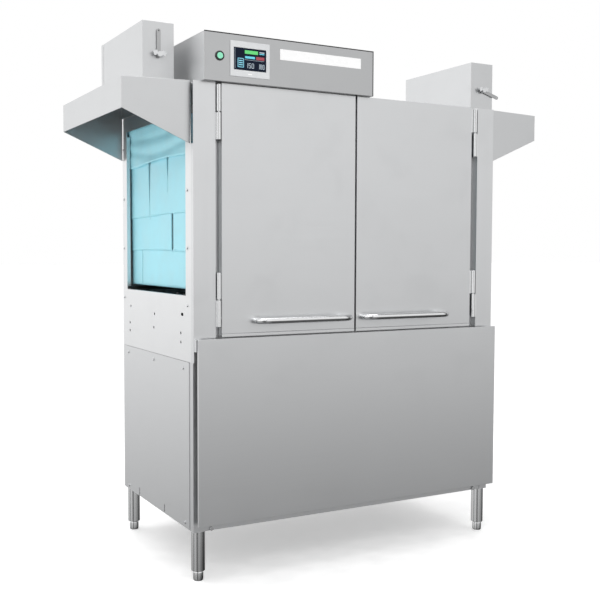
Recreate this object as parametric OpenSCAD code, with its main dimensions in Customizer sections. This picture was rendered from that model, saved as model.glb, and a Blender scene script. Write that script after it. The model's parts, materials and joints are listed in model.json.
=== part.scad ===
// Rack-conveyor commercial dishwasher, 44 in chassis, two front doors, vented end hoods.
// Origin: floor level, centre of the footprint. +X runs from the load end to the unload end,
// -Y is the door side, +Z is up. Millimetres.

/* [Chassis] */
// Chassis width, load end to unload end
body_w = 1118; // [1110:1:1140]
// Chassis depth, column front to rear panel
body_d = 640; // [640:1:660]
// Height of the roof above the floor
roof_z = 1476; // [1474:1:1482]
// Height of the underside of the base frame
base_z = 150; // [148:1:154]
// Height of the seam between the lower side panels and the upper end plates
seam_z = 656; // [654:1:658]
// Thickness of the chassis sheet
sheet = 2; // [1.8:0.1:2]
// Width of each front column
column_w = 70; // [68:1:70]

/* [Doors] */
// Distance from the load end of the chassis to the left door
door_x = 88; // [88:0.5:90]
// Width of each door
door_w = 462.5; // [458:0.5:462.5]
// Gap between the two doors
door_gap = 6.5; // [6:0.5:8]
// Height of the bottom edge of the doors
door_z = 730; // [730:0.5:732]
// Depth of the door pans
door_t = 25; // [24:0.5:26]
// How far the door faces stand proud of the columns
door_proud = 4; // [3:0.5:5]
// Diameter of the hinge barrels
barrel_d = 14; // [12.5:0.5:14]
// Diameter of the hinge pins
pin_d = 7; // [6:0.5:8]
// Length of each half of a hinge
knuckle_l = 80; // [70:1:80]

/* [Handles] */
// Length of a bow handle over its ends
handle_l = 350; // [330:1:360]
// Diameter of the handle tube
handle_d = 19; // [17:0.5:20]
// Height of the handle centre line
handle_z = 777; // [770:1:785]
// Centre-line distance from the door face to the handle grip
handle_bow = 38.5; // [36:0.5:40]

/* [Racks and openings] */
// Height of the bottom edge of the load and unload openings
opening_z = 852; // [850:1:853]
// Height of the top edge of the load and unload openings
opening_top = 1391; // [1389:1:1391]
// Distance from the column front to the near edge of the openings
opening_y = 61; // [60:1:62]
// Width of the openings across the machine
opening_w = 536; // [534:1:536]

/* [Hoods and stacks] */
// How far each end hood reaches beyond the chassis
hood_l = 207; // [205:1:215]
// Height of the vent stacks above the floor
stack_top = 1662; // [1650:1:1680]
// Length of a stack across the machine
stack_l = 400; // [390:1:402]
// Width of a stack along the machine
stack_w = 98; // [96:1:98]

/* [Control box] */
// Width of the control box
box_w = 579; // [570:1:585]
// Height of the control box
box_h = 140; // [138:1:144]
// Depth of the control box
box_d = 358; // [350:1:362]

/* [Hidden] */
$fn = 48;

// colours
steel = [0.74, 0.75, 0.76];
bright = [0.82, 0.83, 0.84];
dull = [0.56, 0.57, 0.58];
vinyl = [0.62, 0.86, 0.94];
black = [0.08, 0.08, 0.09];
white = [0.94, 0.94, 0.94];
blue = [0.18, 0.30, 0.42];

// the chassis is laid out from its load-end front corner and then centred on the origin
handle_reach = door_proud + handle_bow + handle_d / 2;
front_y = -(body_d - handle_reach) / 2;
thin = 1.5;                     // covers, hoods, stacks and doors
fit = 0.05;                     // radial clearance of a running fit
apart = 0.5;                    // gap between neighbouring pieces that move apart
post_y = 11;                    // front of the corner posts
rail_h = 40;                    // height of the base rails
rail_t = 3;
seam = 0.2;                     // seam between bars and between plates of one piece
pad_w = 52;                     // leg pads
socket_wall = 5.4;
post_w = [30, 28];              // legs of a corner post along X and Y
ring_w = [32, 26];              // flat flanges of the lower and upper ring
ring_h = 32;                    // height of the upper ring
clip_r = [8, 3];                // clip boss and its peg
pad_z = base_z + rail_t + seam;
leg_x = 25;                     // leg centres from the chassis ends
leg_front = 31;
leg_rear = 615;
leg_d = 41.3;
foot_h = 30;
stud_r = 6;                     // levelling screw
socket_r = 8;                   // leg spigot in the base frame
plate_front = 18;               // front edge of the end plates
back = body_d - sheet;          // inner face of the rear panel
ring_x = [sheet + rail_t + seam, body_w - sheet - rail_t - seam];
ring_y = [post_y + rail_t + seam, back - rail_t - seam];
frame_y = door_t - door_proud + 3;  // face behind the doors
header_z = 1430;
slot_z = 1296;                  // the columns' outer returns are narrow above this height
sill_z = 745;
hinge_y = -door_proud;
hinge_x = [column_w + (door_x - column_w) / 2,
    (door_x + 2 * door_w + door_gap + body_w - column_w) / 2];
hinge_z = [841, 1390];          // joint height of the lower and upper hinges
door_top = roof_z - 1;
door_x2 = door_x + door_w + door_gap;
handle_x = [185, 568];
panel_x = [5, body_w - 1];
panel_z = [174, 727];
panel_y = [-24, -14];
clip_x = [60, body_w - 60];
clip_z = [182, 709];
track_z = opening_z + 3;
rod_x = [22, 700, body_w - 22]; // curtain rods
rod_z = 1400;
rod_r = 4;
hanger_y = 52;                  // hanger of the centre rod
curtain_t = 10;
curtain_z = 867;
arm_z = [800, 1430];            // lower and upper spray arms
arm_x = [for (i = [0:3]) 180 + i * 130];
riser_y = 614;
riser_x = 360;
rinse_x = 880;
feed_z = roof_z + 36;           // rinse feed over the roof
inlet_x = 640;
tank_x = [33, body_w - 33];
tank_y = [45, 575];
tank_z = 735;
sump_x = 400;
sump_z = 455;
pump_y = 180;
pump_z = 530;
crank_x = 130;
crank_y = 330;
crank_r = 60;
pawl_x = [330, 740];
cross_x = [230, 560, 900];      // cross bars under the rack rails
shelf_z = 446;
gearbox_z = 585;                // underside of the gearbox
bar_z = 838;
hood_y = [19, 637];
hood_gap = 2;
stack_x = -105;
stack_y = 132;
damper_z = 1565;
damper_x = stack_x + stack_w / 2;
lever_l = 70;
lever_turn = [0, 107];          // lever angle from upright, load end and unload end
box_x = 27;
box_y = -19;
button_x = 75;
cable_hole = [560, 200, 16];    // cable way through the roof: x, y, radius
button_z = 1549;
button_r = 9;
heater_y = [400, 450];
heater_z = 490;
overflow = [1000, 480];

// ---- helpers -------------------------------------------------------------------------

// moves the layout corner to its place about the origin
module place() translate([-body_w / 2, front_y, 0]) children();

// a mirrored copy for the unload end
module far_end() translate([body_w, 0, 0]) mirror([1, 0, 0]) children();

// box between two limits on each axis
module block(x, y, z) translate([x[0], y[0], z[0]]) cube([x[1] - x[0], y[1] - y[0], z[1] - z[0]]);

// round bars along each axis
module bar_x(x, y, z, r) translate([x[0], y, z]) rotate([0, 90, 0]) cylinder(r = r, h = x[1] - x[0]);
module bar_y(x, y, z, r) translate([x, y[1], z]) rotate([90, 0, 0]) cylinder(r = r, h = y[1] - y[0]);
module bar_z(x, y, z, r) translate([x, y, z[0]]) cylinder(r = r, h = z[1] - z[0]);

// pan-head screw through a wall that faces along -X
module screw_x(y, z, l, head_r = 5) {
    bar_x([-2.5, 0], y, z, head_r);
    bar_x([-0.1, l], y, z, 2.4);
}

// ---- base ----------------------------------------------------------------------------

side_screws = [[590, seam_z - 22], [338, seam_z - 22], [85, seam_z - 22], [590, 165], [71, 168]];
flange_screws = [for (y = [47.5, 627], z = [823, 993, 1163, 1333]) [y, z]];
table_holes = [[561, 795], [328, 782], [95, 795], [571, 738], [335, 738], [101, 738], [571, 711],
    [101, 711]];

// angle iron along X: upright flange at y = 0, flat flange at the bottom
module angle_iron(l, h, w) {
    cube([l, rail_t, h]);
    cube([l, w, rail_t]);
}

// four angle irons inside the corner posts; the side ones stop short of the front and rear ones
module angle_ring(z, h, w) {
    for (s = [0, 1]) translate([ring_x[0], ring_y[s], z]) mirror([0, s, 0])
        angle_iron(ring_x[1] - ring_x[0], h, w);
    angle_side(z, h, w);
    far_end() angle_side(z, h, w);
}

module angle_side(z, h, w) translate([ring_x[0], ring_y[1] - w - seam, z])
    rotate([0, 0, -90]) angle_iron(ring_y[1] - ring_y[0] - 2 * (w + seam), h, w);

module corner_post(x, y, sx, sy) translate([x, y, base_z]) mirror([sx, 0, 0]) mirror([0, sy, 0]) {
    cube([post_w[0], rail_t, seam_z - base_z]);
    cube([rail_t, post_w[1], seam_z - base_z]);
}

// bars with a fine seam between them: posts outside, rings inside, shelf on the lower ring
module base_frame() color(dull) place() {
    difference() {
        union() {
            angle_ring(base_z, rail_h, ring_w[0]);
            angle_ring(seam_z - ring_h, ring_h, ring_w[1]);
            for (s = [0, 1]) {
                corner_post(sheet, s == 0 ? post_y : back, 0, s);
                corner_post(body_w - sheet, s == 0 ? post_y : back, 1, s);
            }
            // leg pads and sockets on the flat flanges of the lower ring
            for (cx = [leg_x, body_w - leg_x], cy = [leg_front, leg_rear]) {
                sx = cx < body_w / 2 ? ring_x[0] + rail_t + seam : ring_x[1] - rail_t - seam - pad_w;
                sy = cy < body_d / 2 ? ring_y[0] + rail_t + seam : ring_y[1] - rail_t - seam - pad_w;
                block([sx, sx + pad_w], [sy, sy + pad_w], [pad_z, pad_z + 5]);
                bar_z(cx, cy, [pad_z, base_z + 26], socket_r + socket_wall);
            }
            // component shelf on two short legs, with the gearbox stand on top
            block([ring_x[0], 300], ring_y, [shelf_z, shelf_z + 3]);
            for (sy = [20, 612])
                block([285, 300], [sy, sy + 15], [base_z + rail_t + seam, shelf_z + 1]);
            for (sx = [crank_x - 45, crank_x + 42])
                block([sx, sx + 3], [crank_y - 40, crank_y + 40], [shelf_z + 1, gearbox_z]);
            // stools that carry the tank rim
            for (sx = [10, body_w - 26], sy = [30, 577])
                block([sx, sx + 16], [sy, sy + 9.5], [seam_z - 30, tank_z - sheet]);
            for (cx = clip_x) bar_y(cx, [post_y - 24, ring_y[0] + 1], clip_z[0], clip_r[0]);
            for (cx = clip_x) bar_y(cx, [panel_y[0] + 4, 0], clip_z[0], clip_r[1]);
        }
        for (cx = [leg_x, body_w - leg_x], cy = [leg_front, leg_rear])
            bar_z(cx, cy, [base_z - 1, base_z + 22], socket_r + fit);
        // notch in the upper ring for the riser pipe
        block([riser_x - 34, riser_x + 6], [riser_y - 20, ring_y[1] - rail_t],
            [seam_z - 33, seam_z + 1]);
        for (s = side_screws) {
            bar_x([0, 12], s[0], s[1], 2.5);
            far_end() bar_x([0, 12], s[0], s[1], 2.5);
        }
    }
}

module leg(x, y) difference() {
    union() {
        bar_z(x, y, [foot_h + 0.4, base_z], leg_d / 2);
        bar_z(x, y, [base_z - 1, base_z + 20], socket_r);
    }
    bar_z(x, y, [foot_h, 110], stud_r + fit);
    bar_z(x, y, [60, base_z - 8], leg_d / 2 - 1.6);
}

module legs() color(bright) place()
    for (x = [leg_x, body_w - leg_x], y = [leg_front, leg_rear]) leg(x, y);

// bullet foot on its levelling screw
module foot(x, y) color(bright) place() translate([x, y, 0]) rotate_extrude()
    polygon([[0, 0], [13.5, 0], [15, 3], [15.6, 7], [15.6, 25], [13.5, foot_h], [stud_r, foot_h],
        [stud_r, 88], [0, 88]]);

module foot_front_left() foot(leg_x, leg_front);
module foot_front_right() foot(body_w - leg_x, leg_front);
module foot_rear_left() foot(leg_x, leg_rear);
module foot_rear_right() foot(body_w - leg_x, leg_rear);

// ---- panels --------------------------------------------------------------------------

module side_panel() difference() {
    block([0, sheet], [38, body_d], [base_z + 2, seam_z - 1]);
    for (s = side_screws) bar_x([-1, 5], s[0], s[1], 2.6);
    for (y = [483, 246]) block([-1, 5], [y - 2.5, y + 2.5], [base_z, base_z + 30]);
    for (y = [472, 235], z = [165, 175]) bar_x([-1, 5], y, z, 1.6);
}

module side_panel_load() color(steel) place() side_panel();
module side_panel_unload() color(steel) place() far_end() side_panel();

// end plate with the rack opening, its turned lip, table holes and curtain-rod brackets
module end_plate() {
    oy = [opening_y, opening_y + opening_w];
    lip = 12;
    difference() {
        union() {
            block([0, sheet], [plate_front, body_d], [seam_z, roof_z - sheet]);
            block([0, lip], [oy[0] - sheet, oy[1] + sheet], [opening_z - sheet, opening_top - 16]);
            for (y = [46, 617]) block([0, 34], [y, y + 3], [rod_z - 12, rod_z + 12]);
        }
        block([-1, 50], oy, [opening_z, opening_top]);
        for (s = flange_screws) bar_x([-1, 5], s[0], s[1], 2.5);
        for (h = table_holes) bar_x([-1, 5], h[0], h[1], 4.5);
        block([-1, 5], [85, 95], [790.5, 799.5]);
        bar_x([-1, 5], 85, 795, 4.5);
        bar_y(rod_x[0], [40, 630], rod_z, rod_r + fit);
    }
}

module end_plate_load() color(bright) place() end_plate();
module end_plate_unload() color(bright) place() far_end() end_plate();

// one column: front face, outer return (cut back beside the hood) and inner return
module column() {
    z = [seam_z, roof_z];
    block([0, column_w], [0, sheet], z);
    block([0, sheet], [0, plate_front - 0.2], [seam_z, slot_z]);
    block([0, sheet], [0, 4], z);
    block([column_w - sheet, column_w], [0, frame_y + 20], z);
    block([sheet / 2, 24], [panel_y[1] + 0.6, 0.5], [690, panel_z[1] - 1]);
}

// strip behind the hinge edge of a door
module jamb() block([column_w - 1, door_x + 1], [frame_y, frame_y + sheet], [sill_z - 1, header_z + 1]);

module front_frame() color(bright) place() {
    x = [column_w - 1, body_w - column_w + 1];
    mid = door_x + door_w + door_gap / 2;
    column();
    far_end() column();
    block(x, [frame_y, frame_y + sheet], [header_z, roof_z - sheet]);
    block(x, [frame_y, frame_y + 20], [header_z, header_z + sheet]);
    block(x, [frame_y, frame_y + sheet], [seam_z + 30, sill_z]);
    block(x, [frame_y, frame_y + 16], [sill_z - sheet, sill_z]);
    block([mid - 14, mid + 14], [frame_y, frame_y + sheet], [sill_z - 1, header_z + 1]);
    jamb();
    far_end() jamb();
    for (s = [-14, 12]) block([mid + s, mid + s + 2], [frame_y, frame_y + 14], [sill_z - 1, header_z + 1]);
    for (cx = clip_x) bar_y(cx, [panel_y[0] + 4, 1], clip_z[1], 3);
    for (cx = clip_x) bar_y(cx, [panel_y[1] + 0.6, 1], clip_z[1], 8);
}

// room for the top of a front column
module roof_corner()
    block([-1, column_w + seam], [-1, frame_y + 20 + seam], [roof_z - 5, roof_z + 1]);

module roof_panel() color(steel) place() {
    difference() {
        union() {
            block([sheet, body_w - sheet], [frame_y, body_d], [roof_z - sheet, roof_z]);
            block([0, sheet + 0.5], [plate_front, body_d], [roof_z - sheet, roof_z]);
            far_end() block([0, sheet + 0.5], [plate_front, body_d], [roof_z - sheet, roof_z]);
        }
        bar_z(rinse_x, riser_y + 8, [roof_z - 5, roof_z + 5], 12);
        bar_z(cable_hole[0], cable_hole[1], [roof_z - 5, roof_z + 5], cable_hole[2]);
        roof_corner();
        far_end() roof_corner();
    }
}

module rear_panel() color(steel) place() {
    block([sheet, body_w - sheet], [back, body_d], [seam_z + 1, roof_z - sheet]);
    block([sheet, body_w - sheet], [back, body_d], [base_z + 2, seam_z - 1]);
}

// lower front panel: a shallow pan with four clip sockets behind it
module front_panel() color(steel) place() difference() {
    union() {
        difference() {
            block(panel_x, panel_y, panel_z);
            block([panel_x[0] + thin, panel_x[1] - thin], [panel_y[0] + thin, 0],
                [panel_z[0] + thin, panel_z[1] - thin]);
        }
        for (x = clip_x, z = clip_z) block([x - 7, x + 7], [panel_y[0] + 1, panel_y[1]], [z - 7, z + 7]);
    }
    for (x = clip_x, z = clip_z) bar_y(x, [panel_y[0] + thin, 0], z, 3 + fit);
}

// ---- doors and hinges ----------------------------------------------------------------

module door_pan(x) {
    y = [-door_proud, door_t - door_proud];
    z = [door_z, door_top];
    difference() {
        block([x, x + door_w], y, z);
        block([x + thin, x + door_w - thin], [y[0] + thin, y[1] - thin], [z[0] + thin, z[1] - thin]);
        block([x + 14, x + door_w - 14], [y[0] + thin, y[1] + 1], [z[0] + 14, z[1] - 14]);
        block([x - 1, x + door_w + 1], [y[0] - 1, y[0] + 0.5], [z[0] + 9, z[0] + 10.2]);
    }
}

module door_left() color(steel) place() door_pan(door_x);
module door_right() color(bright) place() door_pan(door_x2);

// bow handle: two quarter bends and a straight grip, ends square on the door face
module bow_handle(x) color(bright) place() {
    r = handle_d / 2;
    face = -door_proud;
    for (s = [0, 1]) translate([s == 0 ? x + r : x + handle_l - r, face, handle_z]) mirror([s, 0, 0])
        translate([handle_bow, 0, 0]) rotate([0, 0, 180]) rotate_extrude(angle = 90)
            translate([handle_bow, 0]) circle(r);
    bar_x([x + r + handle_bow, x + handle_l - r - handle_bow], face - handle_bow, handle_z, r);
}

module handle_left() bow_handle(handle_x[0]);
module handle_right() bow_handle(handle_x[1]);

// frame half of a hinge below its joint: barrel, leaf on the column, blind pin hole
module frame_half(i, zj) {
    side = i == 0 ? column_w : body_w - column_w;
    lo = min(side, hinge_x[i]);
    hi = max(side, hinge_x[i]);
    leaf = i == 0 ? [side, side + 3] : [side - 3, side];
    difference() {
        union() {
            bar_z(hinge_x[i], hinge_y, [zj - knuckle_l, zj - 1.5], barrel_d / 2);
            block(leaf, [hinge_y + 2, frame_y - 4], [zj - knuckle_l, zj - 1.5]);
            block([lo + (i == 0 ? 1 : 0), hi - (i == 0 ? 0 : 1)], [hinge_y + 2, hinge_y + 5],
                [zj - knuckle_l, zj - 1.5]);
        }
        bar_z(hinge_x[i], hinge_y, [zj - 40, zj + 10], pin_d / 2);
    }
}

module frame_hinges() color(bright) place() for (i = [0, 1], z = hinge_z) frame_half(i, z);

module hinge_pins() color(dull) place() for (x = hinge_x, z = hinge_z) {
    bar_z(x, hinge_y, [z - 40, z + 38], pin_d / 2);
}

// door half of a hinge above its joint
module door_half(i, zj) {
    edge = i == 0 ? door_x : door_x2 + door_w;
    lo = min(edge, hinge_x[i]);
    hi = max(edge, hinge_x[i]);
    leaf = i == 0 ? [edge - 2.5, edge] : [edge, edge + 2.5];
    difference() {
        union() {
            bar_z(hinge_x[i], hinge_y, [zj + 1.5, zj + knuckle_l], barrel_d / 2);
            block(leaf, [hinge_y + 2, frame_y - 6], [zj + 1.5, zj + knuckle_l]);
            block([lo, hi], [hinge_y + 2, hinge_y + 5], [zj + 1.5, zj + knuckle_l]);
        }
        bar_z(hinge_x[i], hinge_y, [zj, zj + 40], pin_d / 2 + fit);
    }
}

module door_hinges_left() color(bright) place() for (z = hinge_z) door_half(0, z);
module door_hinges_right() color(bright) place() for (z = hinge_z) door_half(1, z);

// ---- hoods, stacks and dampers -------------------------------------------------------

hood_top = [roof_z + 2, roof_z - 4];     // top edge at the chassis and at the outer end
hood_low = [1296, 1384];                 // bottom edge at the chassis and at the outer end

module hood_outline(inset) polygon([[-hood_gap, hood_low[0]], [-hood_gap, hood_top[0] - inset],
    [-hood_l + inset, hood_top[1] - inset], [-hood_l + inset, hood_low[1]]]);

// swings an X-Z outline up and extrudes it along Y
module along_y(y) translate([0, y[1], 0]) rotate([90, 0, 0]) linear_extrude(y[1] - y[0]) children();

module hood() difference() {
    union() {
        along_y(hood_y) hood_outline(0);
        block([-hood_gap - 2, 0], [60, 596], [roof_z - 36, roof_z - 6]);
    }
    along_y([hood_y[0] + thin, hood_y[1] - thin]) difference() {
        polygon([[-hood_gap + 1, hood_low[0] - 20], [-hood_gap + 1, hood_top[0] - thin],
            [-hood_gap - 2, hood_top[0] - thin], [-hood_l + thin, hood_top[1] - thin],
            [-hood_l + thin, hood_low[1] - 20]]);
        translate([-hood_gap - 2, roof_z - 36]) square([4, 60]);
    }
    block([stack_x - 0.5, stack_x + stack_w + 0.5], [stack_y - 0.5, stack_y + stack_l + 0.5],
        [1440, 1500]);
}

module hood_load() color(bright) place() hood();
module hood_unload() color(bright) place() far_end() hood();

// rectangular duct with a turned seam and the damper shaft holes
module stack() difference() {
    x = [stack_x, stack_x + stack_w];
    y = [stack_y, stack_y + stack_l];
    z = [hood_top[1] - 8, stack_top];
    union() {
        block(x, y, z);
        block([x[0] - 1, x[0] + 1], [y[1] - 19, y[1] - 0.5], [hood_top[0] + 4, z[1]]);
    }
    block([x[0] + thin, x[1] - thin], [y[0] + thin, y[1] - thin], [z[0] - 1, z[1] + 1]);
    bar_y(damper_x, [y[0] - 5, y[1] + 5], damper_z, 5 + fit);
}

module stack_load() color(bright) place() stack();
module stack_unload() color(bright) place() far_end() stack();

// damper blade on its shaft, with the flat lever outside the stack
module damper(turn) translate([damper_x, 0, damper_z]) rotate([0, turn, 0]) translate([-damper_x, 0, -damper_z]) {
    y = [stack_y + 4, stack_y + stack_l - 4];
    half = stack_w / 2 - 4;
    difference() {
        union() {
            bar_y(damper_x, [stack_y - 14, stack_y + stack_l + 6], damper_z, 5);
            block([damper_x - 1, damper_x + 1], y, [damper_z - half, damper_z + half]);
            bar_y(damper_x, [stack_y - 8, stack_y - 2], damper_z, 9);
            block([damper_x - 6, damper_x + 6], [stack_y - 5, stack_y - 2], [damper_z, damper_z + lever_l]);
            bar_y(damper_x, [stack_y - 5, stack_y - 2], damper_z + lever_l, 6);
        }
        bar_y(damper_x, [stack_y - 20, stack_y - 1], damper_z + lever_l, 2.2);
    }
}

module damper_load() color(dull) place() damper(lever_turn[0]);
module damper_unload() color(dull) place() far_end() damper(-lever_turn[1]);

// wing nut on the end of the damper shaft
module wing_nut() difference() {
    union() {
        bar_y(damper_x, [stack_y - 17, stack_y - 8.5], damper_z, 8);
        for (s = [-1, 1]) translate([damper_x + s * 12, stack_y - 12, damper_z + 3]) rotate([0, s * 25, 0])
            block([-7, 7], [-1.5, 1.5], [-6, 7]);
    }
    bar_y(damper_x, [stack_y - 15, stack_y], damper_z, 5 + fit);
}

module wing_nut_load() color(bright) place() wing_nut();
module wing_nut_unload() color(bright) place() far_end() wing_nut();

// ---- control box ---------------------------------------------------------------------

// five plates with fine seams; the open front takes the cover
module control_box() color(steel) place() {
    x = [box_x, box_x + box_w];
    y = [box_y + thin, box_y + box_d];
    z = [roof_z, roof_z + box_h];
    wall_z = [z[0] + thin + seam, z[1] - thin - seam];
    difference() {
        block(x, y, [z[0], z[0] + thin]);
        bar_z(cable_hole[0], cable_hole[1], [z[0] - 5, z[0] + 5], cable_hole[2]);
    }
    block(x, y, [z[1] - thin, z[1]]);
    block(x, [y[1] - thin, y[1]], wall_z);
    for (wx = [x[0], x[1] - thin]) block([wx, wx + thin], [y[0], y[1] - thin - seam], wall_z);
}

module control_cover() color(steel) place() difference() {
    union() {
        block([box_x + 1, box_x + box_w - 2], [box_y, box_y + thin], [roof_z + 0.5, roof_z + box_h - 2]);
        block([box_x + 3, box_x + box_w - 3], [box_y + 1, box_y + 12], [roof_z + 3, roof_z + 4.5]);
    }
    bar_y(button_x, [box_y - 5, box_y + 5], button_z, button_r + 0.6);
    block([121, 223], [box_y - 5, box_y + 5], [1516, 1577]);
}

module screen_bezel() color([0.80, 0.81, 0.82]) place() difference() {
    block([108, 236], [box_y - 3, box_y], [1495, 1597]);
    block([119, 225], [box_y - 5, box_y + 1], [1514, 1579]);
}

module touch_screen() color(black) place() {
    block([119, 225], [box_y - 1.2, box_y], [1514, 1579]);
    block([123, 221], [box_y - 0.5, box_y + 14], [1518, 1575]);
}

module power_button() color([0.45, 0.85, 0.68]) place() {
    bar_y(button_x, [box_y - 5, box_y + 6], button_z, button_r);
    bar_y(button_x, [box_y + 5, box_y + 7.5], button_z, button_r - 1);
}

module button_ring() color(black) place() difference() {
    bar_y(button_x, [box_y - 3, box_y], button_z, 14);
    bar_y(button_x, [box_y - 5, box_y + 2], button_z, button_r + fit);
}

module label_bar() color(white) place()
    block([272, 559], [box_y - 1.2, box_y], [1557, 1589]);

// back plate with contactors, a terminal rail and a transformer
module control_gear() color(dull) place() {
    z = roof_z + thin;
    block([60, 570], [40, 300], [z, z + 3]);
    for (i = [0:2]) block([90 + i * 62, 140 + i * 62], [190, 255], [z + 2, z + 75]);
    for (i = [0:11]) block([300 + i * 10, 308 + i * 10], [205, 245], [z + 2, z + 42]);
    block([450, 530], [90, 160], [z + 2, z + 62]);
    block([100, 260], [70, 150], [z + 2, z + 14]);
}

// ---- rack tunnel ---------------------------------------------------------------------

// rods across the tunnel; the centre one runs from a hanger under the roof to the rear panel
module curtain_rods() color(dull) place() {
    for (x = [rod_x[0], rod_x[2]]) bar_y(x, [44, 622], rod_z, rod_r);
    bar_y(rod_x[1], [hanger_y, back], rod_z, rod_r);
    block([rod_x[1] - 8, rod_x[1] + 8], [hanger_y, hanger_y + 3], [rod_z - 8, roof_z - sheet]);
}

// flexible curtain: hem sleeve round the rod and one hanging sheet
module curtain(x, y) color(vinyl) place() difference() {
    union() {
        bar_y(x, y, rod_z, 8);
        block([x - curtain_t / 2, x + curtain_t / 2], y, [curtain_z, rod_z]);
    }
    bar_y(x, [y[0] - 5, y[1] + 5], rod_z, rod_r + 0.4);
}

module curtain_load() curtain(rod_x[0], [52, 612]);
module curtain_centre() curtain(rod_x[1], [58, 590]);
module curtain_unload() curtain(rod_x[2], [66, 592]);

// two rack rails on cross bars; the cross bars guide the pawl bar
module rack_tracks() color(black) place() {
    for (s = [0, 1]) {
        y0 = s == 0 ? opening_y + 1 : opening_y + opening_w - 29;
        lip = s == 0 ? y0 : y0 + 25;
        block([sheet, body_w - sheet], [y0, y0 + 28], [opening_z, track_z]);
        block([sheet, body_w - sheet], [lip, lip + 3], [opening_z, opening_z + 10]);
    }
    for (x = cross_x) {
        block([x, x + 15], [opening_y + 1, opening_y + opening_w - 1], [825, bar_z - apart]);
        for (y = [opening_y + 6, opening_y + opening_w - 20]) block([x, x + 15], [y, y + 14], [830, track_z]);
        for (y = [crank_y - 14, crank_y + 9.5]) block([x, x + 15], [y, y + 4.5], [830, bar_z + 12]);
    }
}

// reciprocating bar with two pawl windows and a cross-slotted drive plate
module pawl_bar() color(steel) place() difference() {
    union() {
        block([80, 960], [crank_y - 9, crank_y + 9], [bar_z, bar_z + 12]);
        block([crank_x - 14, crank_x + 14], [crank_y - 76, crank_y + 76], [bar_z, bar_z + 6]);
    }
    block([crank_x - 6.5, crank_x + 6.5], [crank_y - 68, crank_y + 68], [bar_z - 1, bar_z + 13]);
    for (x = pawl_x) {
        block([x - 26, x + 38], [crank_y - 3.5, crank_y + 3.5], [bar_z - 1, bar_z + 13]);
        bar_y(x, [crank_y - 8, crank_y + 8], bar_z + 6, 2.5 + fit);
    }
}

// rack pawl with its pivot pin
module pawl(x) color(dull) place() translate([x, 0, bar_z + 6]) {
    along_y([crank_y - 3, crank_y + 3])
        polygon([[-20, -4], [-6, -5], [10, -5], [30, 2], [30, 16], [25, 16], [14, 5], [-20, 3]]);
    bar_y(0, [crank_y - 7.6, crank_y + 7.6], 0, 2.5);
}

module pawl_load() pawl(pawl_x[0]);
module pawl_unload() pawl(pawl_x[1]);

// crank arm on the vertical drive shaft; its pin stops just under the drive plate
module drive_crank() color(bright) place() {
    bar_z(crank_x, crank_y, [645, 832], 8);
    bar_z(crank_x, crank_y, [806, 828], 16);
    block([crank_x - 8, crank_x + 8], [crank_y - crank_r, crank_y], [816, 826]);
    bar_z(crank_x, crank_y - crank_r, [816, bar_z - apart], 6);
    bar_z(crank_x, crank_y - crank_r, [816, 827], 9);
}

// worm gearbox with its motor, hung under the load end of the tank
module drive_gearmotor() color(blue) place() difference() {
    union() {
        block([crank_x - 48, crank_x + 48], [crank_y - 48, crank_y + 48], [gearbox_z, 672]);
        bar_z(crank_x, crank_y, [670, 684], 26);
        bar_y(crank_x, [crank_y + 46, crank_y + 62], 625, 52);
        bar_y(crank_x, [crank_y + 60, crank_y + 200], 625, 46);
        bar_y(crank_x, [crank_y + 200, crank_y + 212], 625, 50);
    }
    bar_z(crank_x, crank_y, [640, 700], 8 + fit);
}

// ---- tank ----------------------------------------------------------------------------

module tank_outline() polygon([[tank_x[0], tank_z], [tank_x[0], 708], [sump_x, 668], [sump_x, sump_z],
    [tank_x[1], sump_z], [tank_x[1], tank_z]]);

module tank_hollow() polygon([[tank_x[0] + 2, tank_z + 5], [tank_x[0] + 2, 710], [sump_x + 2, 670],
    [sump_x + 2, sump_z + 2], [tank_x[1] - 2, sump_z + 2], [tank_x[1] - 2, tank_z + 5]]);

module wash_tank() color(steel) place() difference() {
    union() {
        difference() {
            along_y(tank_y) tank_outline();
            along_y([tank_y[0] + 2, tank_y[1] - 2]) tank_hollow();
        }
        difference() {
            block([tank_x[0] - 25, tank_x[1] + 25], [tank_y[0] - 12, tank_y[1] + 16], [tank_z - 2, tank_z]);
            block([tank_x[0] + 1, tank_x[1] - 1], [tank_y[0] + 1, tank_y[1] - 1], [tank_z - 5, tank_z + 5]);
            for (x = [column_w - sheet, body_w - column_w])
                block([x - 0.5, x + sheet + 0.5], [tank_y[0] - 13, tank_y[0] - 0.5], [tank_z - 5, tank_z + 5]);
        }
        bar_z(crank_x, crank_y, [696, tank_z + 25], 20);
        bar_z(overflow[0], overflow[1], [400, sump_z + 1], 24);
        for (y = [tank_y[0] + 2, tank_y[1] - 14]) block([sump_x, tank_x[1] - 1], [y, y + 12], [718, 720]);
    }
    bar_z(crank_x, crank_y, [650, tank_z + 30], 17);
    bar_z(overflow[0], overflow[1], [390, sump_z + 20], 20);
    bar_x([sump_x - 5, sump_x + 5], pump_y, pump_z, 22);
    for (y = heater_y) bar_x([sump_x - 5, sump_x + 5], y, heater_z, 5);
}

// lift-out strainer tray with slotted floor and upturned edges
module scrap_screen() color(bright) place() {
    x = [sump_x + 6, tank_x[1] - 6];
    y = [tank_y[0] + 5, tank_y[1] - 5];
    nx = 14;
    ny = 9;
    dx = (x[1] - x[0] - 20) / nx;
    dy = (y[1] - y[0] - 20) / ny;
    difference() {
        block(x, y, [721, 740]);
        block([x[0] + 1.5, x[1] - 1.5], [y[0] + 1.5, y[1] - 1.5], [722.5, 745]);
        for (i = [0:nx - 1], j = [0:ny - 1])
            block([x[0] + 16 + i * dx, x[0] + 16 + i * dx + dx - 12],
                [y[0] + 16 + j * dy, y[0] + 16 + j * dy + 8], [719, 725]);
    }
}

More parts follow.
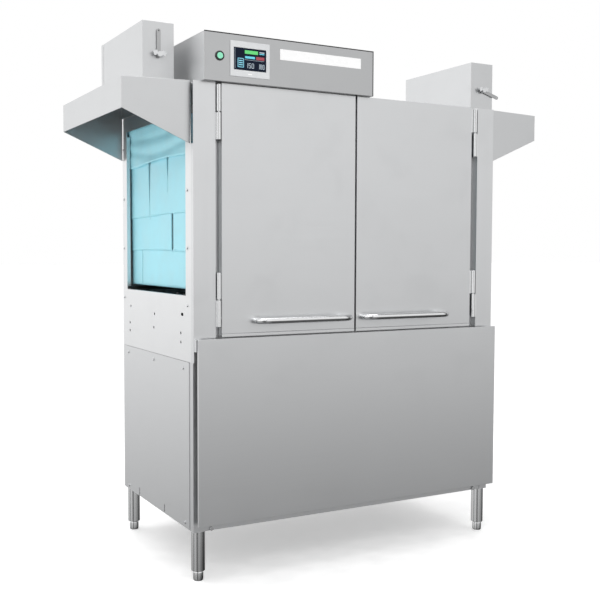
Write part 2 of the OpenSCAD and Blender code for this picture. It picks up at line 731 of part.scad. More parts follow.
// standpipe that plugs the drain and sets the water level
module overflow_tube() color(bright) place() difference() {
    union() {
        bar_z(overflow[0], overflow[1], [430, 640], 19.4);
        bar_z(overflow[0], overflow[1], [sump_z + 2.5, sump_z + 10], 27);
    }
    bar_z(overflow[0], overflow[1], [425, 700], 16);
}

// hairpin immersion element with its flange outside the tank wall
module tank_heater() color(black) place() {
    mid = (heater_y[0] + heater_y[1]) / 2;
    bend = (heater_y[1] - heater_y[0]) / 2;
    for (y = heater_y) bar_x([sump_x - 8, 760], y, heater_z, 4.2);
    translate([760, mid, heater_z]) rotate([0, 0, -90]) rotate_extrude(angle = 180)
        translate([bend, 0]) circle(4.2);
    bar_x([sump_x - 10, sump_x], mid, heater_z, 32);
    bar_x([sump_x - 34, sump_x - 10], mid, heater_z, 24);
}

// ---- wash and rinse water ------------------------------------------------------------

// volute with suction and discharge stubs
module wash_pump() color(dull) place() difference() {
    union() {
        bar_x([320, 372], pump_y, pump_z, 66);
        bar_x([370, sump_x], pump_y, pump_z, 28);
        bar_z(riser_x - 14, pump_y + 44, [pump_z, 618], 20);
        bar_x([312, 322], pump_y, pump_z, 74);
    }
    bar_x([326, 366], pump_y, pump_z, 58);
    bar_x([360, 410], pump_y, pump_z, 22);
    bar_x([300, 330], pump_y, pump_z, 9);
    bar_z(riser_x - 14, pump_y + 44, [pump_z + 10, 630], 16);
}

module pump_impeller() color(bright) place() {
    bar_x([332, 338], pump_y, pump_z, 50);
    bar_x([312.5, 360], pump_y, pump_z, 8);
    for (a = [0:60:300]) translate([0, pump_y, pump_z]) rotate([a, 0, 0]) block([337, 352], [10, 48], [-1.5, 1.5]);
}

module pump_motor() color(blue) place() {
    bar_x([110, 300], pump_y, pump_z, 62);
    bar_x([298, 312], pump_y, pump_z, 72);
    bar_x([96, 112], pump_y, pump_z, 58);
    block([170, 240], [pump_y - 35, pump_y + 35], [pump_z + 50, pump_z + 92]);
    for (x = [140, 250]) block([x, x + 18], [pump_y - 60, pump_y + 60], [pump_z - 78, pump_z - 40]);
}

// pipe from the pump to the rear of the tunnel and up to the two spray headers
module wash_riser() color(dull) place() difference() {
    union() {
        bar_y(riser_x - 14, [pump_y + 24, riser_y], 634, 16);
        translate([riser_x - 14, riser_y, 634]) sphere(16);
        bar_z(riser_x - 14, riser_y, [634, arm_z[1]], 16);
    }
    bar_y(riser_x - 14, [pump_y + 28, riser_y], 634, 13);
    bar_z(riser_x - 14, riser_y, [634, arm_z[1] - 20], 13);
    bar_z(riser_x - 14, pump_y + 44, [610, 634], 13);
}

// rear header and a comb of spray pipes, slots cut on the side s (1 up, -1 down)
module spray_arms(z, s) difference() {
    union() {
        for (x = arm_x) bar_y(x, [70, riser_y], z, 13);
        for (x = arm_x) bar_y(x, [66, 72], z, 15);
        bar_x([arm_x[0] - 20, riser_x - 30.2], riser_y, z, 18);
        bar_x([riser_x + 2.2, arm_x[3] + 20], riser_y, z, 18);
        for (x = [arm_x[1] + 13, arm_x[2] - 13]) block([x - 4, x + 4], [560, 572], [z - 4, z + 4]);
        block([arm_x[1] + 5, arm_x[2] - 5], [560, 572], [z - 6, z + 6]);
    }
    for (x = arm_x, j = [0:6]) block([x - 8, x + 8], [110 + j * 66, 114 + j * 66],
        s > 0 ? [z + 9, z + 20] : [z - 20, z - 9]);
}

module wash_arms_lower() color(bright) place() spray_arms(arm_z[0], 1);
module wash_arms_upper() color(bright) place() spray_arms(arm_z[1], -1);

// final rinse pipes with fan nozzles, the rear feed pipe, the roof valve and vacuum breaker
module rinse_line() color(bright) place() {
    for (i = [0, 1]) {
        z = arm_z[i];
        bar_y(rinse_x, [75, riser_y + 8], z, 8);
        for (j = [0:4]) bar_z(rinse_x, 120 + j * 100, i == 0 ? [z, z + 14] : [z - 14, z], 5);
    }
    feed_y = riser_y + 8;
    bar_z(rinse_x, feed_y, [arm_z[0], feed_z], 8);
    translate([rinse_x, feed_y, feed_z]) sphere(8);
    bar_x([inlet_x, 692], feed_y, feed_z, 8);
    bar_x([728, rinse_x], feed_y, feed_z, 7);
    // solenoid valve with its coil, then the vacuum breaker
    block([690, 730], [feed_y - 20, feed_y + 16], [feed_z - 16, feed_z + 16]);
    bar_z(710, feed_y - 2, [feed_z + 14, feed_z + 56], 15);
    bar_z(785, feed_y, [feed_z, feed_z + 38], 9);
    bar_z(785, feed_y, [feed_z + 36, feed_z + 54], 14);
}

// ---- fasteners -----------------------------------------------------------------------

module fasteners() color(dull) place() {
    for (s = side_screws) {
        screw_x(s[0], s[1], 8);
        far_end() screw_x(s[0], s[1], 8);
    }
    for (s = flange_screws) {
        screw_x(s[0], s[1], 5, 4);
        far_end() screw_x(s[0], s[1], 5, 4);
    }
    for (x = clip_x) bar_y(x, [post_y - 3, post_y + 2], 156, 6);
}

base_frame();
legs();
foot_front_left();
foot_front_right();
foot_rear_left();
foot_rear_right();
side_panel_load();
side_panel_unload();
end_plate_load();
end_plate_unload();
front_frame();
roof_panel();
rear_panel();
front_panel();
wash_tank();
frame_hinges();
hinge_pins();
door_left();
door_right();
handle_left();
handle_right();
door_hinges_left();
door_hinges_right();
hood_load();
hood_unload();
stack_load();
stack_unload();
damper_load();
damper_unload();
wing_nut_load();
wing_nut_unload();
control_box();
control_cover();
screen_bezel();
touch_screen();
power_button();
button_ring();
label_bar();
control_gear();
curtain_rods();
curtain_load();
curtain_centre();
curtain_unload();
rack_tracks();
pawl_bar();
pawl_load();
pawl_unload();
drive_crank();
drive_gearmotor();
wash_pump();
pump_impeller();
pump_motor();
wash_riser();
wash_arms_lower();
wash_arms_upper();
rinse_line();
scrap_screen();
overflow_tube();
tank_heater();
fasteners();
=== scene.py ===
"""Looks for a rack-conveyor commercial dishwasher, built around its packed frame."""

import json
import math

import bmesh
import bpy
from bpy.props import FloatProperty, FloatVectorProperty, IntProperty, PointerProperty
from mathutils import Matrix, Vector, noise


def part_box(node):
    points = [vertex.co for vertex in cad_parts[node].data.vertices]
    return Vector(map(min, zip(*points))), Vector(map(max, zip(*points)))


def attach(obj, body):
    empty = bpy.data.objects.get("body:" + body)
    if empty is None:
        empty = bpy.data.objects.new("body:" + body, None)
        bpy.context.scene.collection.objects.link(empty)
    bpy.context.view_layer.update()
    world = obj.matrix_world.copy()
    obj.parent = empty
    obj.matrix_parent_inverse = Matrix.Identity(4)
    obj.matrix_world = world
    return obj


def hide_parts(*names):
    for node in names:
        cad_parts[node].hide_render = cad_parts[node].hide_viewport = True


bl_info = {
    "name": "Conveyor Dishwasher",
    "version": (1, 0, 0),
    "blender": (4, 5, 0),
    "location": "View3D > Sidebar > Dishwasher",
    "description": "Finishes and soft parts of a commercial conveyor dishwasher",
    "category": "Object",
}

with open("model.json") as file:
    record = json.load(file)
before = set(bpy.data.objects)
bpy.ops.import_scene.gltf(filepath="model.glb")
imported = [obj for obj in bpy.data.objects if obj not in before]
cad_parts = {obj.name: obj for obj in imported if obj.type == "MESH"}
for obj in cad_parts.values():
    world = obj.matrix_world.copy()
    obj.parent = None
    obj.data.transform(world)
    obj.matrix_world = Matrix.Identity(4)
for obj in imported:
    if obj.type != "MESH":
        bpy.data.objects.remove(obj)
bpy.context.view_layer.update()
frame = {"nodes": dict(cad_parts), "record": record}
MM = 0.001


# ---- settings ---------------------------------------------------------------------------


class SheetSettings(bpy.types.PropertyGroup):
    """Edges and grain of the stainless sheet"""

    edge: FloatProperty(
        name="Edge radius", description="Rounding of the folded sheet edges", default=0.0006,
        min=0.0002, max=0.002, unit="LENGTH",
    )
    fold: FloatProperty(
        name="Fold radius", description="Rounding of the outer corners of doors, covers and hoods",
        default=0.0022, min=0.0005, max=0.004, unit="LENGTH",
    )
    edge_steps: IntProperty(
        name="Edge steps", description="Facets across a rounded edge", default=2, min=1, max=4
    )
    steel: FloatVectorProperty(
        name="Steel", description="Colour of the bare stainless steel", subtype="COLOR",
        default=(0.738, 0.747, 0.756), min=0, max=1,
    )
    # Also the lighter copy of the steel on the end plates and control box: painted light standing
    # in for the light falling on them.
    bright_steel: FloatVectorProperty(
        name="Bright steel", description="Colour of the polished pieces", subtype="COLOR",
        default=(0.818, 0.825, 0.832), min=0, max=1,
    )
    # Also mixed into the hood steel as painted shade.
    dull_steel: FloatVectorProperty(
        name="Dull steel", description="Colour of the unpolished pieces", subtype="COLOR",
        default=(0.46, 0.465, 0.47), min=0, max=1,
    )


class CurtainSettings(bpy.types.PropertyGroup):
    """The split vinyl curtains"""

    vinyl: FloatVectorProperty(
        name="Vinyl", description="Colour of the curtain vinyl", subtype="COLOR",
        default=(0.33, 0.68, 0.78), min=0, max=1,
    )
    wave: FloatProperty(
        name="Wave", description="How far the hanging strips wander from flat", default=0.0022,
        min=0, max=0.004, unit="LENGTH",
    )
    cell: FloatProperty(
        name="Cell", description="Size of the cells in the curtain meshes", default=0.008,
        min=0.004, max=0.02, unit="LENGTH",
    )


class StageSettings(bpy.types.PropertyGroup):
    """Camera, lights and floor"""

    eye: FloatVectorProperty(
        name="Eye", description="Where the camera stands", subtype="TRANSLATION", unit="LENGTH",
        default=(-1.5916, -2.7912, 0.9849),
    )
    heading: FloatProperty(
        name="Heading", description="Camera turn towards the unload end", subtype="ANGLE",
        default=math.radians(29.04),
    )
    dip: FloatProperty(
        name="Dip", description="How far the camera looks down", subtype="ANGLE",
        default=math.radians(3.02),
    )
    roll: FloatProperty(
        name="Roll", description="Camera roll", subtype="ANGLE", default=math.radians(0.19)
    )
    lens: FloatProperty(name="Lens", description="Focal length in millimetres", default=55.44)
    key: FloatProperty(
        name="Key", description="Power of the soft light at the left", default=70, unit="POWER"
    )
    top: FloatProperty(
        name="Top", description="Power of the soft light overhead", default=80, unit="POWER"
    )
    high_light: FloatProperty(
        name="High light", description="Strength of the surround at and above eye height",
        default=0.96,
    )
    low_light: FloatProperty(
        name="Low light", description="Strength of the surround near the floor", default=0.07
    )
    floor: FloatVectorProperty(
        name="Floor", description="Colour of the floor", subtype="COLOR",
        default=(0.9, 0.9, 0.9), min=0, max=1,
    )


# ---- shader node groups -----------------------------------------------------------------


def new_group(name, inputs, outputs):
    """An empty shader group with float, vector or colour sockets."""
    group = bpy.data.node_groups.new(name, "ShaderNodeTree")
    for label, kind, value in inputs:
        socket = group.interface.new_socket(label, in_out="INPUT", socket_type="NodeSocket" + kind)
        socket.default_value = value
    for label, kind in outputs:
        group.interface.new_socket(label, in_out="OUTPUT", socket_type="NodeSocket" + kind)
    return group, group.nodes.new("NodeGroupInput"), group.nodes.new("NodeGroupOutput")


def math_node(tree, operation, first, second):
    node = tree.nodes.new("ShaderNodeMath")
    node.operation = operation
    for socket, value in zip(node.inputs, (first, second)):
        if isinstance(value, (int, float)):
            socket.default_value = value
        else:
            tree.links.new(value, socket)
    return node.outputs[0]


def ramp_between(tree, value, low, high, to_low, to_high):
    node = tree.nodes.new("ShaderNodeMapRange")
    node.inputs["From Min"].default_value = low
    node.inputs["From Max"].default_value = high
    for name, target in (("To Min", to_low), ("To Max", to_high)):
        if isinstance(target, (int, float)):
            node.inputs[name].default_value = target
        else:
            tree.links.new(target, node.inputs[name])
    tree.links.new(value, node.inputs["Value"])
    return node.outputs["Result"]


def stretched_noise(tree, stretch, scale, detail, rough=0.5):
    """Noise on object coordinates, scaled by a vector socket or a triple."""
    coords = tree.nodes.new("ShaderNodeTexCoord")
    mapping = tree.nodes.new("ShaderNodeVectorMath")
    mapping.operation = "MULTIPLY"
    tree.links.new(coords.outputs["Object"], mapping.inputs[0])
    if isinstance(stretch, tuple):
        mapping.inputs[1].default_value = stretch
    else:
        tree.links.new(stretch, mapping.inputs[1])
    texture = tree.nodes.new("ShaderNodeTexNoise")
    texture.inputs["Scale"].default_value = scale
    texture.inputs["Detail"].default_value = detail
    texture.inputs["Roughness"].default_value = rough
    tree.links.new(mapping.outputs[0], texture.inputs["Vector"])
    return texture.outputs["Fac"]


TONE_GAIN = 4.0  # noise stays near a half, so its swing is widened by this much


def drifting_color(group, color, pattern, amount):
    """The colour made lighter and darker by a pattern centred on a half."""
    shade = math_node(group, "ADD", 1.0, math_node(
        group, "MULTIPLY", math_node(group, "SUBTRACT", pattern, 0.5),
        math_node(group, "MULTIPLY", amount, TONE_GAIN)))
    tint = group.nodes.new("ShaderNodeVectorMath")
    tint.operation = "SCALE"
    group.links.new(color, tint.inputs[0])
    group.links.new(shade, tint.inputs["Scale"])
    return tint.outputs[0]


def brushed_group():
    """Fine lines left by the finishing belt, with broad cloudy tone changes."""
    group, source, result = new_group(
        "brushed_grain",
        [
            ("Stretch", "Vector", (3.0, 3.0, 420.0)),
            ("Color", "Color", (0.7, 0.7, 0.7, 1)),
            ("Tone", "Float", 0.05),
            ("Rough Low", "Float", 0.26),
            ("Rough High", "Float", 0.40),
        ],
        [("Color", "Color"), ("Roughness", "Float"), ("Height", "Float")],
    )
    lines = stretched_noise(group, source.outputs["Stretch"], 1.0, 5.0, 0.62)
    cloud = stretched_noise(group, (1.0, 1.0, 1.0), 3.1, 3.0)
    line_share, cloud_share = 0.72, 0.28
    mixed = math_node(group, "ADD", math_node(group, "MULTIPLY", lines, line_share),
                      math_node(group, "MULTIPLY", cloud, cloud_share))
    tinted = drifting_color(group, source.outputs["Color"], mixed, source.outputs["Tone"])
    group.links.new(tinted, result.inputs["Color"])
    rough = ramp_between(group, mixed, 0.3, 0.7, source.outputs["Rough Low"],
                         source.outputs["Rough High"])
    group.links.new(rough, result.inputs["Roughness"])
    group.links.new(lines, result.inputs["Height"])
    return group


def smudge_group():
    """Faint hand marks and dried water film: raises roughness in soft patches."""
    group, source, result = new_group(
        "smudges",
        [("Roughness", "Float", 0.3), ("Amount", "Float", 0.08), ("Scale", "Float", 9.0)],
        [("Roughness", "Float")],
    )
    coords = group.nodes.new("ShaderNodeTexCoord")
    texture = group.nodes.new("ShaderNodeTexNoise")
    texture.inputs["Detail"].default_value = 4.0
    texture.inputs["Distortion"].default_value = 0.6
    group.links.new(coords.outputs["Object"], texture.inputs["Vector"])
    group.links.new(source.outputs["Scale"], texture.inputs["Scale"])
    mask = ramp_between(group, texture.outputs["Fac"], 0.52, 0.68, 0.0, 1.0)
    added = math_node(group, "MULTIPLY", mask, source.outputs["Amount"])
    raised = math_node(group, "ADD", source.outputs["Roughness"], added)
    group.links.new(raised, result.inputs["Roughness"])
    return group


def mottle_group():
    """Fine moulded or cast skin: a small colour drift and a pebbled height."""
    group, source, result = new_group(
        "mottle",
        [
            ("Color", "Color", (0.5, 0.5, 0.5, 1)),
            ("Scale", "Float", 300.0),
            ("Drift", "Float", 0.06),
            ("Rough Low", "Float", 0.4),
            ("Rough High", "Float", 0.55),
        ],
        [("Color", "Color"), ("Roughness", "Float"), ("Height", "Float")],
    )
    coords = group.nodes.new("ShaderNodeTexCoord")
    fine = group.nodes.new("ShaderNodeTexNoise")
    fine.inputs["Detail"].default_value = 3.0
    group.links.new(coords.outputs["Object"], fine.inputs["Vector"])
    group.links.new(source.outputs["Scale"], fine.inputs["Scale"])
    broad = stretched_noise(group, (1.0, 1.0, 1.0), 14.0, 3.0)
    tinted = drifting_color(group, source.outputs["Color"], broad, source.outputs["Drift"])
    group.links.new(tinted, result.inputs["Color"])
    rough = ramp_between(group, broad, 0.35, 0.65, source.outputs["Rough Low"],
                         source.outputs["Rough High"])
    group.links.new(rough, result.inputs["Roughness"])
    group.links.new(fine.outputs["Fac"], result.inputs["Height"])
    return group


BUILDERS = {"brushed": brushed_group, "smudges": smudge_group, "mottle": mottle_group}
GROUPS = {}


def effect(name):
    """The shared node group of that name, built the first time it is asked for."""
    if name not in GROUPS:
        GROUPS[name] = BUILDERS[name]()
    return GROUPS[name]


# ---- materials --------------------------------------------------------------------------


def new_material(name):
    material = bpy.data.materials.new(name)
    material.use_nodes = True
    return material, material.node_tree, material.node_tree.nodes["Principled BSDF"]


def add_bump(tree, shader, height, distance, strength=1.0):
    bump = tree.nodes.new("ShaderNodeBump")
    bump.inputs["Distance"].default_value = distance
    bump.inputs["Strength"].default_value = strength
    tree.links.new(height, bump.inputs["Height"])
    tree.links.new(bump.outputs["Normal"], shader.inputs["Normal"])


# how the finishing lines are stretched along each axis, by the way they run
GRAIN = {"level": (3.0, 3.0, 420.0), "upright": (420.0, 420.0, 3.0), "along": (3.0, 420.0, 3.0)}


def mottled_skin(tree, shader, **values):
    """A mottle group with the given values, feeding the shader's colour and roughness."""
    skin = tree.nodes.new("ShaderNodeGroup")
    skin.node_tree = effect("mottle")
    for label, value in values.items():
        skin.inputs[label.replace("_", " ")].default_value = value
    tree.links.new(skin.outputs["Color"], shader.inputs["Base Color"])
    tree.links.new(skin.outputs["Roughness"], shader.inputs["Roughness"])
    return skin


def steel(name, color, low=0.26, high=0.40, grain="level", tone=0.02, smudge=0.03, bump=0.00002):
    """Belt-finished stainless sheet."""
    material, tree, shader = new_material(name)
    lines = tree.nodes.new("ShaderNodeGroup")
    lines.node_tree = effect("brushed")
    lines.inputs["Stretch"].default_value = GRAIN[grain]
    lines.inputs["Color"].default_value = (*color, 1)
    lines.inputs["Tone"].default_value = tone
    lines.inputs["Rough Low"].default_value = low
    lines.inputs["Rough High"].default_value = high
    marks = tree.nodes.new("ShaderNodeGroup")
    marks.node_tree = effect("smudges")
    marks.inputs["Amount"].default_value = smudge
    tree.links.new(lines.outputs["Color"], shader.inputs["Base Color"])
    tree.links.new(lines.outputs["Roughness"], marks.inputs["Roughness"])
    tree.links.new(marks.outputs["Roughness"], shader.inputs["Roughness"])
    shader.inputs["Metallic"].default_value = 1.0
    shader.inputs["Anisotropic"].default_value = 0.35
    add_bump(tree, shader, lines.outputs["Height"], bump)
    return material


def moulded(name, color, low=0.4, high=0.55, scale=300.0, drift=0.06, bump=0.00004, metallic=0.0,
            coat=0.0, gloss=0.5):
    """Plastic, paint or cast metal with a fine mottled skin."""
    material, tree, shader = new_material(name)
    skin = mottled_skin(tree, shader, Color=(*color, 1), Scale=scale, Drift=drift, Rough_Low=low,
                        Rough_High=high)
    shader.inputs["Metallic"].default_value = metallic
    shader.inputs["Coat Weight"].default_value = coat
    shader.inputs["Specular IOR Level"].default_value = gloss
    add_bump(tree, shader, skin.outputs["Height"], bump)
    return material


def glowing(name, color, strength):
    """A surface with a light of its own: the read-outs, the button's lamp and the lifted floor."""
    material, tree, shader = new_material(name)
    skin = mottled_skin(tree, shader, Color=(*color, 1), Drift=0.04)
    tree.links.new(skin.outputs["Color"], shader.inputs["Emission Color"])
    shader.inputs["Emission Strength"].default_value = strength
    return material


def vinyl(name, color):
    """Soft translucent curtain vinyl with a faint moulded ripple."""
    material, tree, shader = new_material(name)
    skin = mottled_skin(tree, shader, Color=(*color, 1), Scale=120.0, Drift=0.05, Rough_Low=0.38,
                        Rough_High=0.52)
    shader.inputs["Subsurface Weight"].default_value = 0.12
    shader.inputs["Subsurface Radius"].default_value = (0.004, 0.006, 0.008)
    shader.inputs["Subsurface Scale"].default_value = 1.0
    # Painted glow: a weak emission in the vinyl's colour stands in for light shining through the
    # curtain.
    tree.links.new(skin.outputs["Color"], shader.inputs["Emission Color"])
    shader.inputs["Emission Strength"].default_value = 0.05
    ripple = stretched_noise(tree, (30.0, 30.0, 4.0), 1.0, 2.0)
    add_bump(tree, shader, ripple, 0.0006, 0.5)
    return material


def build_finishes(settings):
    """One material for each finish, keyed by the record's slot names."""

    def mix(one, other):
        return tuple((a + b) / 2 for a, b in zip(one, other))

    base, polish_and_light, dull = (
        tuple(color) for color in (settings.steel, settings.bright_steel, settings.dull_steel)
    )
    return {
        "frame_steel": steel("frame_steel", base, 0.34, 0.5, "level", 0.03),
        "polished_steel": steel("polished_steel", polish_and_light, 0.12, 0.2, "upright", 0.02, 0.03),
        "side_sheet": steel("side_sheet", base, 0.32, 0.44, "level"),
        # The end plates take the lighter steel: painted light.
        "end_sheet": steel("end_sheet", polish_and_light, 0.3, 0.42, "level"),
        "front_sheet": steel("front_sheet", base, 0.28, 0.4, "upright"),
        "panel_sheet": steel("panel_sheet", base, 0.3, 0.42, "level"),
        "door_sheet": steel("door_sheet", base, 0.3, 0.42, "level"),
        # The hoods get a darker copy of the steel: painted shade.
        "hood_sheet": steel("hood_sheet", mix(base, mix(base, dull)), 0.3, 0.42, "level"),
        "roof_sheet": steel("roof_sheet", base, 0.3, 0.44, "along"),
        "damper_steel": steel("damper_steel", dull, 0.25, 0.38, "level"),
        "nut_steel": steel("nut_steel", base, 0.18, 0.28, "level", 0.03),
        "box_sheet": steel("box_sheet", mix(mix(base, dull), dull), 0.28, 0.4, "level"),
        "bezel_plastic": moulded("bezel_plastic", (0.62, 0.63, 0.64), 0.35, 0.45, 500),
        "screen_glass": moulded("screen_glass", (0.004, 0.009, 0.022), 0.1, 0.16, 60, 0.02, 0.00001,
                                gloss=0.12),
        "button_plastic": glowing("button_plastic", (0.22, 0.62, 0.42), 0.18),
        "ring_plastic": moulded("ring_plastic", (0.012, 0.012, 0.013), 0.2, 0.3),
        "label_plastic": moulded("label_plastic", (0.86, 0.86, 0.86), 0.25, 0.35, 200, 0.02),
        "track_polymer": moulded("track_polymer", (0.018, 0.018, 0.02), 0.4, 0.55),
        "pawl_steel": steel("pawl_steel", dull, 0.25, 0.4, "level"),
        "motor_paint": moulded("motor_paint", (0.03, 0.075, 0.14), 0.3, 0.42, 180, 0.08, 0.00008,
                               coat=0.3),
        "pump_cast": moulded("pump_cast", (0.16, 0.165, 0.17), 0.5, 0.65, 260, 0.12, 0.0003, 0.7),
        "wet_steel": steel("wet_steel", base, 0.2, 0.34, "level", 0.04, 0.12),
        "element": moulded("element", (0.05, 0.05, 0.055), 0.45, 0.6, 300, 0.1, 0.0001, 0.6),
    }


FINISHES = {}


# ---- mesh helpers -----------------------------------------------------------------------


def new_piece(name, verts, faces, material, body, slot_name, smooth=True):
    """A mesh piece that rides on a body and takes its finish from a slot."""
    mesh = bpy.data.meshes.new(name)
    mesh.from_pydata([tuple(v) for v in verts], [], faces)
    mesh.materials.append(material)
    for polygon in mesh.polygons:
        polygon.use_smooth = smooth
    mesh.update()
    piece = bpy.data.objects.new(name, mesh)
    bpy.context.scene.collection.objects.link(piece)
    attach(piece, body)
    return piece


def body_of_node(node):
    bodies = frame["record"]["behaviour"]["bodies"]
    return next(name for name, nodes in bodies.items() if node in nodes)


def slot_of_node(node):
    return next(s["material_slot"] for s in frame["record"]["subparts"] if s["node"] == node)


# pieces whose outer corners are bent sheet, with a wider rounding than their other edges
FOLDED = {"door_left", "door_right", "front_panel", "control_cover", "stack_load", "stack_unload"}


SHARP_ANGLE = math.radians(35.0)  # edges turning more than this are rounded
FLAT_ANGLE = math.radians(0.6)  # faces turning less than this are joined
WELD = 1e-5
CORNER_SLACK = 5e-5  # how far from the box a corner may lie
BACK_PLANE = (1, 1)  # the box side at high y: axis number, then 0 for its low end or 1 for its high


def fold_edges(work):
    """The edges along the corners of the mesh's own bounding box, those on its back left out."""
    spots = [v.co for v in work.verts]
    low = Vector([min(c) for c in zip(*spots)])
    high = Vector([max(c) for c in zip(*spots)])

    def planes(vert):
        return {(axis, end) for axis in range(3) for end, limit in enumerate((low, high))
                if abs(vert.co[axis] - limit[axis]) < CORNER_SLACK}

    return {e for e in work.edges
            if len(planes(e.verts[0]) & planes(e.verts[1]) - {BACK_PLANE}) == 2}


def softened(node, finish=None):
    """A copy of a frame node with rounded edges, standing in for the sharp one."""
    settings = bpy.context.scene.dish_sheet
    mesh = frame["nodes"][node].data.copy()
    mesh.name = node + "_finished"
    work = bmesh.new()
    work.from_mesh(mesh)
    bmesh.ops.remove_doubles(work, verts=work.verts, dist=WELD)
    bmesh.ops.dissolve_limit(work, angle_limit=FLAT_ANGLE, verts=work.verts, edges=work.edges)
    for face in work.faces:
        face.smooth = True
    folds = fold_edges(work) if node in FOLDED else set()
    widest = settings.fold if folds else settings.edge
    weights = work.edges.layers.float.new("bevel_weight_edge")
    for edge in work.edges:
        if len(edge.link_faces) == 2 and edge.calc_face_angle(0.0) > SHARP_ANGLE:
            edge[weights] = 1.0 if edge in folds else settings.edge / widest
    work.to_mesh(mesh)
    work.free()
    mesh.materials.clear()
    slot_name = slot_of_node(node)
    mesh.materials.append(FINISHES[finish or slot_name])
    for polygon in mesh.polygons:
        polygon.material_index = 0
    piece = bpy.data.objects.new(node + "_finished", mesh)
    bpy.context.scene.collection.objects.link(piece)
    bevel = piece.modifiers.new("rounded_edges", "BEVEL")
    bevel.width = widest
    bevel.segments = settings.edge_steps + (1 if folds else 0)
    bevel.limit_method = "WEIGHT"
    bevel.use_clamp_overlap = not folds
    bevel.miter_outer = "MITER_SHARP"
    flatter = piece.modifiers.new("flat_faces_stay_flat", "WEIGHTED_NORMAL")
    flatter.mode = "FACE_AREA"
    flatter.weight = 100
    flatter.keep_sharp = True
    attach(piece, body_of_node(node))
    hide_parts(node)


# ---- operators: sheet metal and machine parts -------------------------------------------

# The control box takes the end plates' lighter steel, with its painted light.
FINISH_OF = {"roof_panel": "roof_sheet", "control_box": "end_sheet"}


def finish_group(name, label, doc, nodes):
    """An operator class that finishes a group of like pieces."""

    def execute(self, context):
        for node in nodes:
            softened(node, FINISH_OF.get(node))
        return {"FINISHED"}

    body = {"__doc__": doc, "bl_idname": "dish." + name, "bl_label": label, "execute": execute}
    return type("DISH_OT_" + name, (bpy.types.Operator,), body)


GROUP_OPERATORS = tuple(finish_group(*group) for group in (
    ("panels", "Panels", "Round the edges of the side, end, front, rear and roof sheets",
     ("side_panel_load", "side_panel_unload", "end_plate_load", "end_plate_unload", "front_frame",
      "front_panel", "rear_panel", "roof_panel")),
    ("doors", "Doors", "Finish the two doors with their handles and hinges",
     ("door_left", "door_right", "handle_left", "handle_right", "frame_hinges", "hinge_pins",
      "door_hinges_left", "door_hinges_right")),
    ("vents", "Hoods and stacks", "Finish the hoods, the vent stacks and their dampers",
     ("hood_load", "hood_unload", "stack_load", "stack_unload", "damper_load", "damper_unload",
      "wing_nut_load", "wing_nut_unload")),
    ("controls", "Control box", "Finish the control box with its screen, button and plain bar",
     ("control_box", "control_cover", "screen_bezel", "touch_screen", "power_button", "button_ring",
      "label_bar", "control_gear")),
    ("base", "Base", "Finish the base frame, legs, feet and screws",
     ("base_frame", "legs", "foot_front_left", "foot_front_right", "foot_rear_left",
      "foot_rear_right", "fasteners")),
    ("tracks", "Rack drive", "Finish the rack rails, the pawl bar and its crank drive",
     ("rack_tracks", "pawl_bar", "pawl_load", "pawl_unload", "drive_crank", "drive_gearmotor",
      "curtain_rods")),
    ("washing", "Wash and rinse", "Finish the tank, pump, heater and spray pipes",
     ("wash_tank", "wash_pump", "pump_impeller", "pump_motor", "wash_riser", "wash_arms_lower",
      "wash_arms_upper", "rinse_line", "scrap_screen", "overflow_tube", "tank_heater")),
))


# ---- operator: curtains -----------------------------------------------------------------

LAYER_T = 0.0013
ROD_DROP = 0.008  # how far the rod's middle lies below the top of the curtain
LAYER_DROP = 0.0085  # how far below the rod's middle the inner layers begin
WRAP_R = 0.0074  # radius of the outermost layer where it comes over the sleeve
SLEEVE_R = (0.0055, 0.0066)  # inside and outside of the hem sleeve
SLEEVE_SIDES = 24
LAYER_WELD = 2e-5
SLITS = (0.31, 0.37, 0.666, 0.815)  # where the slits run, as shares of the width
# lower edges of the outer layers below the rod's middle, and how far each edge wanders
MIDDLE_DROP, MIDDLE_WAVE = 0.421, 0.008
FRONT_DROP, FRONT_WAVE = 0.302, 0.003
FOLD_DROP, FOLD_WAVE = 0.146, 0.010
SWAY_FADE = 0.25  # drop over which the wander grows to its full size
# rolls of the top fold: height of one, how far it swells, and the drop over which they fade
ROLL, ROLL_SWELL, ROLL_FADE = 0.048, 0.0052, 0.4
FLARE, FLARE_HEIGHT = 0.0045, 0.022  # how far the fold's lower edge turns outwards, and over what
# wedge slits: width at the top and at the tip, and how far above and below they are cut
WEDGE_OPEN, WEDGE_TIP, WEDGE_TOP, WEDGE_TAIL = 0.019, 0.0014, 0.09, 0.06
# how far each layer hangs from the middle of the curtain, inner layers first
LAYER_DEPTH = (0.0032, 0.0011, -0.0010, -0.0031)


